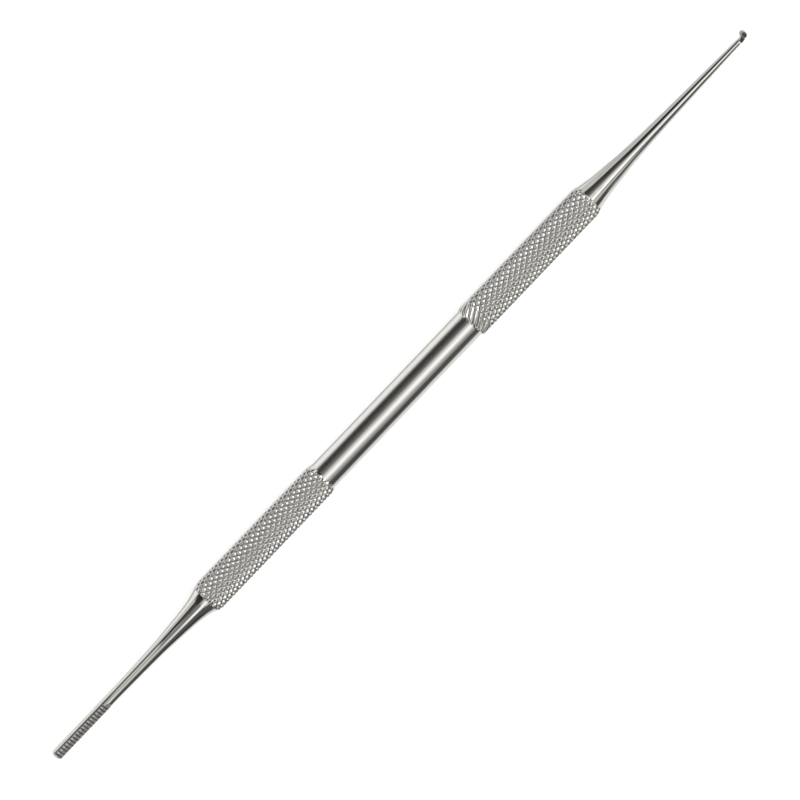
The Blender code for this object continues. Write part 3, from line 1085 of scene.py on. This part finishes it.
@dataclass(frozen=True)
class Room:
    """The room that the steel mirrors: a bright strip overhead, pale walls and dark gaps between them.

    A tone is a direction across the tool, in degrees from straight up towards -Y, and its brightness.
    """

    warmth: Colour = (1.0, 0.99, 0.965)
    tones: tuple[Pair, ...] = (
        (-180.0, 0.84), (-82.0, 0.84), (-76.0, 0.55), (-70.0, 0.14), (-64.0, 0.045),
        (-38.0, 0.055), (-30.0, 0.09), (-21.0, 0.14), (-14.0, 0.22), (-7.0, 0.46),
        (0.0, 0.65), (7.0, 0.80), (13.0, 1.10), (18.0, 1.21), (23.0, 1.17),
        (29.0, 0.97), (36.0, 0.70), (44.0, 0.54), (52.0, 0.45), (59.0, 0.29),
        (66.0, 0.11), (73.0, 0.07), (90.0, 0.07), (100.0, 0.60), (180.0, 0.60),
    )
    cards: tuple[Card, ...] = (
        Card(-78.0, 19.0, -28.0, 22.0, 6.0, 0.62),
        Card(-78.0, 16.0, 30.0, 24.0, 6.0, 0.66),
        Card(-82.0, 22.0, 9.0, 5.0, 5.0, 0.50),
        Card(-73.0, 6.0, 9.0, 5.0, 5.0, 0.74),
        Card(-33.0, 13.0, 9.0, 5.0, 6.0, 0.02),
        Card(32.0, 6.0, 9.0, 5.0, 6.0, 0.55),
        Card(56.0, 17.0, 9.0, 5.0, 7.0, 0.06),
        Card(91.0, 10.0, 9.0, 5.0, 5.0, 0.50),
        Card(3.0, 26.0, -9.0, 4.0, 6.0, 0.55),
        Card(-44.0, 8.0, -9.0, 4.0, 5.0, 0.02),
        Card(-30.0, 8.0, -8.5, 2.5, 3.0, 0.95),
        Card(-2.0, 13.0, -22.5, 13.5, 5.0, 0.22),
        Card(56.0, 20.0, -20.0, 16.0, 6.0, 0.10),
        Card(88.0, 14.0, -12.0, 8.0, 5.0, 0.03),
        Card(39.0, 3.0, 16.0, 8.0, 3.0, 0.16),
        Card(51.0, 6.0, 17.0, 7.0, 4.0, 0.66),
        Card(13.0, 2.0, 24.0, 6.0, 3.0, 0.20),
        Card(24.0, 33.0, 38.0, 10.0, 6.0, 2.90),
        Card(-50.0, 30.0, -42.0, 12.0, 6.0, 0.03),
        Card(-38.0, 22.0, 42.0, 12.0, 6.0, 0.10),
        Card(64.0, 15.0, -42.0, 12.0, 6.0, 0.10),
    )

    def build(self) -> None:
        """Makes the world: the room for the steel, and plain white for the camera."""
        world = bpy.data.worlds.new("room")
        bpy.context.scene.world = world
        world.use_nodes = True
        make = TreeMaker(world.node_tree)
        x, y, z = make.split(make.node("ShaderNodeTexCoord").outputs["Generated"])
        across = make.math("ARCTAN2", y * -1.0, z) * math.degrees(1.0)
        along = make.math("ARCSINE", x) * math.degrees(1.0)
        light = self._strip(make, across)
        for card in self.cards:
            light = card.over(light, across, along)
        tint = make.joined("ShaderNodeCombineColor", (light * share for share in self.warmth))
        seen = make.value("ShaderNodeLightPath", "Is Camera Ray")
        make.feed(world.node_tree.nodes["Background"], {"Color": make.mixed(seen, tint, WHITE)})

    def _strip(self, make: TreeMaker, across: Signal) -> Signal:
        """The room's brightness across the tool.

        Args:
            make: adds nodes to the world's tree.
            across: the direction, in degrees.

        Returns:
            The brightness.
        """
        ramp = make.node("ShaderNodeValToRGB", {0: across / 360.0 + 0.5})
        stops = ramp.color_ramp.elements
        stops.remove(stops[-1])
        for index, (direction, brightness) in enumerate(self.tones):
            place = direction / 360.0 + 0.5
            stop = stops[0] if index == 0 else stops.new(place)
            stop.position = place
            stop.color = (brightness, brightness, brightness, 1.0)
        return Signal(make, ramp.outputs[0])


@dataclass
class Studio:
    """A white table, a softbox, the room round them and the camera."""

    image_size: int = 800
    frame_width: float = 131.8 * MM
    tool_rise: float = math.radians(46.29)
    origin_pixel: Pair = (401.08, 395.18)
    lens: float = 200.0
    sensor: float = 36.0
    clip: Pair = (0.01, 10.0)
    table_size: float = 3.0
    table_grey: float = 0.9
    table_roughness: float = 0.9
    table_to_camera: float = 0.70
    table_to_steel: float = 0.33
    # The next fields set the painted light and shade that the steel sees on the table.
    lit_reach: float = 9.0 * MM
    dark_reach: float = 32.0 * MM
    far_share: float = 0.10
    bright_side: float = 1.2
    bright_start: float = 2.0 * MM
    strip_end: float = 7.5 * MM
    strip_softness: float = 1.5 * MM
    strip_shade: float = 0.45
    ends_start: float = 44.0 * MM
    ends_full: float = 54.0 * MM
    ends_shade: float = 0.44
    edge_slant: float = 11.6
    least_reach: float = 0.6
    softbox_side: float = 0.45
    softbox_distance: float = 0.6
    softbox_power: float = 0.06
    softbox_along: float = math.radians(8.0)
    softbox_across: float = math.radians(16.0)
    room: Room = Room()

    def build(self, table_height: float) -> None:
        """Sets up the table, light, room, camera and view.

        Args:
            table_height: the height that the tool rests at.
        """
        self._table(table_height)
        self._softbox()
        self.room.build()
        self._camera()
        bpy.context.scene.view_settings.view_transform = "Standard"

    def _table(self, height: float) -> None:
        """A white table that shows as white to the camera and in the steel, and keeps the tool's shadow; in
        the steel it also carries painted shade and painted light.

        Args:
            height: its height.
        """
        mesh = bpy.data.meshes.new("table")
        half = self.table_size / 2
        corners = [(x * half, y * half, height) for x, y in ((-1, -1), (1, -1), (1, 1), (-1, 1))]
        mesh.from_pydata(corners, [], [(0, 1, 2, 3)])
        table = placed("table", mesh)
        white = bpy.data.materials.new("white_table")
        white.use_nodes = True
        make = TreeMaker(white.node_tree)
        rays = ("Is Camera Ray", "Is Glossy Ray", "Is Transmission Ray")
        seen, glossy, through = (make.value("ShaderNodeLightPath", ray) for ray in rays)
        mirrored = make.math("MAXIMUM", glossy, through)
        painted_light = self._painted_light(make)
        # For mirrored rays the table's colour and glow are scaled by this painted light and shade.
        grey = (1.0 - mirrored * (1.0 - painted_light)) * self.table_grey
        looks = {
            "Roughness": self.table_roughness,
            "Specular IOR Level": 0.0,
            "Emission Color": WHITE,
            "Emission Strength": seen * self.table_to_camera + mirrored * painted_light * self.table_to_steel,
            "Base Color": make.joined("ShaderNodeCombineColor", (grey, grey, grey)),
        }
        make.feed(white.node_tree.nodes["Principled BSDF"], looks)
        mesh.materials.append(white)

    def _painted_light(self, make: TreeMaker) -> Signal:
        """Painted light and shade on the table as the steel sees it: darker towards -Y, a painted shadow
        beside the tool, painted shade towards the curette, and brighter on +Y.

        Args:
            make: adds nodes to the table's tree.

        Returns:
            The share of its full brightness.
        """
        x, y, _ = make.split(make.node("ShaderNodeTexCoord").outputs["Object"])
        # Painted shade: the steel sees the table darken towards -Y past an edge slanted along x.
        reach = make.math("MAXIMUM", x * self.edge_slant + 1.0, self.least_reach)
        painted_light = make.mapped(y * -1.0 / reach, self.lit_reach, self.dark_reach, 1.0, self.far_share)
        # Painted shadow: a strip beside the tool on +Y and the table towards the curette's end are darkened
        # for the steel, and painted light brightens the +Y side.
        inner, outer = self.strip_end - self.strip_softness, self.strip_end + self.strip_softness
        near = make.mapped(y, inner, outer, self.strip_shade, 0.0)
        ends = make.mapped(x, self.ends_start, self.ends_full, 0.0, 1.0)
        shade = make.math("MAXIMUM", near, ends * self.ends_shade)
        upper = make.mapped(y, 0.0, self.bright_start, 0.0, 1.0)
        return painted_light * (upper * (self.bright_side - 1.0) + 1.0) * (1.0 - upper * shade)

    def _softbox(self) -> None:
        """The square softbox, a little towards the curette and the toothed side."""
        light = bpy.data.lights.new("softbox", "AREA")
        with_settings(light, shape="SQUARE", size=self.softbox_side, energy=self.softbox_power)
        lamp = placed("softbox", light)
        reach = math.cos(self.softbox_along)
        sideways, upwards = reach * math.sin(self.softbox_across), reach * math.cos(self.softbox_across)
        way = Vector((math.sin(self.softbox_along), -sideways, upwards))
        place, turn = way * self.softbox_distance, way.to_track_quat("Z", "Y")
        with_settings(lamp, location=place, rotation_mode="QUATERNION", rotation_quaternion=turn)

    def _camera(self) -> None:
        """A long lens straight above, turned so that the tool rises to the right as photographed."""
        data = bpy.data.cameras.new("camera")
        near, far = self.clip
        with_settings(data, lens=self.lens, sensor_width=self.sensor, clip_start=near, clip_end=far)
        camera = placed("camera", data)
        right = Vector((math.cos(self.tool_rise), -math.sin(self.tool_rise), 0.0))
        up = Vector((math.sin(self.tool_rise), math.cos(self.tool_rise), 0.0))
        to_right = self.image_size / 2 - self.origin_pixel[0]
        to_top = self.origin_pixel[1] - self.image_size / 2
        centre = (right * to_right + up * to_top) * (self.frame_width / self.image_size)
        place = centre + Vector((0.0, 0.0, self.frame_width * self.lens / self.sensor))
        turn = Matrix((right, up, Vector((0.0, 0.0, 1.0)))).transposed().to_quaternion()
        with_settings(camera, location=place, rotation_mode="QUATERNION", rotation_quaternion=turn)
        bpy.context.scene.camera = camera


def main() -> None:
    """Builds the tool and the studio, placed by the model's part boxes."""
    logging.basicConfig(level=logging.INFO, format="%(message)s")
    handle_low, handle_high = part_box("handle")
    file_low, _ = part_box("file_end")
    _, curette_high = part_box("curette_end")

    turned = SteelFinish(
        "handle_steel",
        Polish.TURNED,
        roughness=0.15,
        knurl_roughness=0.11,
        painted_pit_shade=0.10,
        roughness_spread=0.05,
        line_height=6e-6,
        wave_height=14e-6,
    )
    dull = SteelFinish("file_steel", Polish.MIRROR, roughness=0.11, knurl_roughness=0.40, painted_pit_shade=0.7)
    satin = SteelFinish("curette_steel", Polish.MIRROR, roughness=0.10, knurl_roughness=0.38, painted_pit_shade=0.9)
    Handle(handle_low.x, handle_high.x).build(turned)
    FileEnd(file_low.x, handle_low.x).build(dull)
    CuretteEnd(curette_high.x, handle_high.x).build(satin)
    Studio().build(CAD_BOX[0].z)


if __name__ == "__main__":
    main()
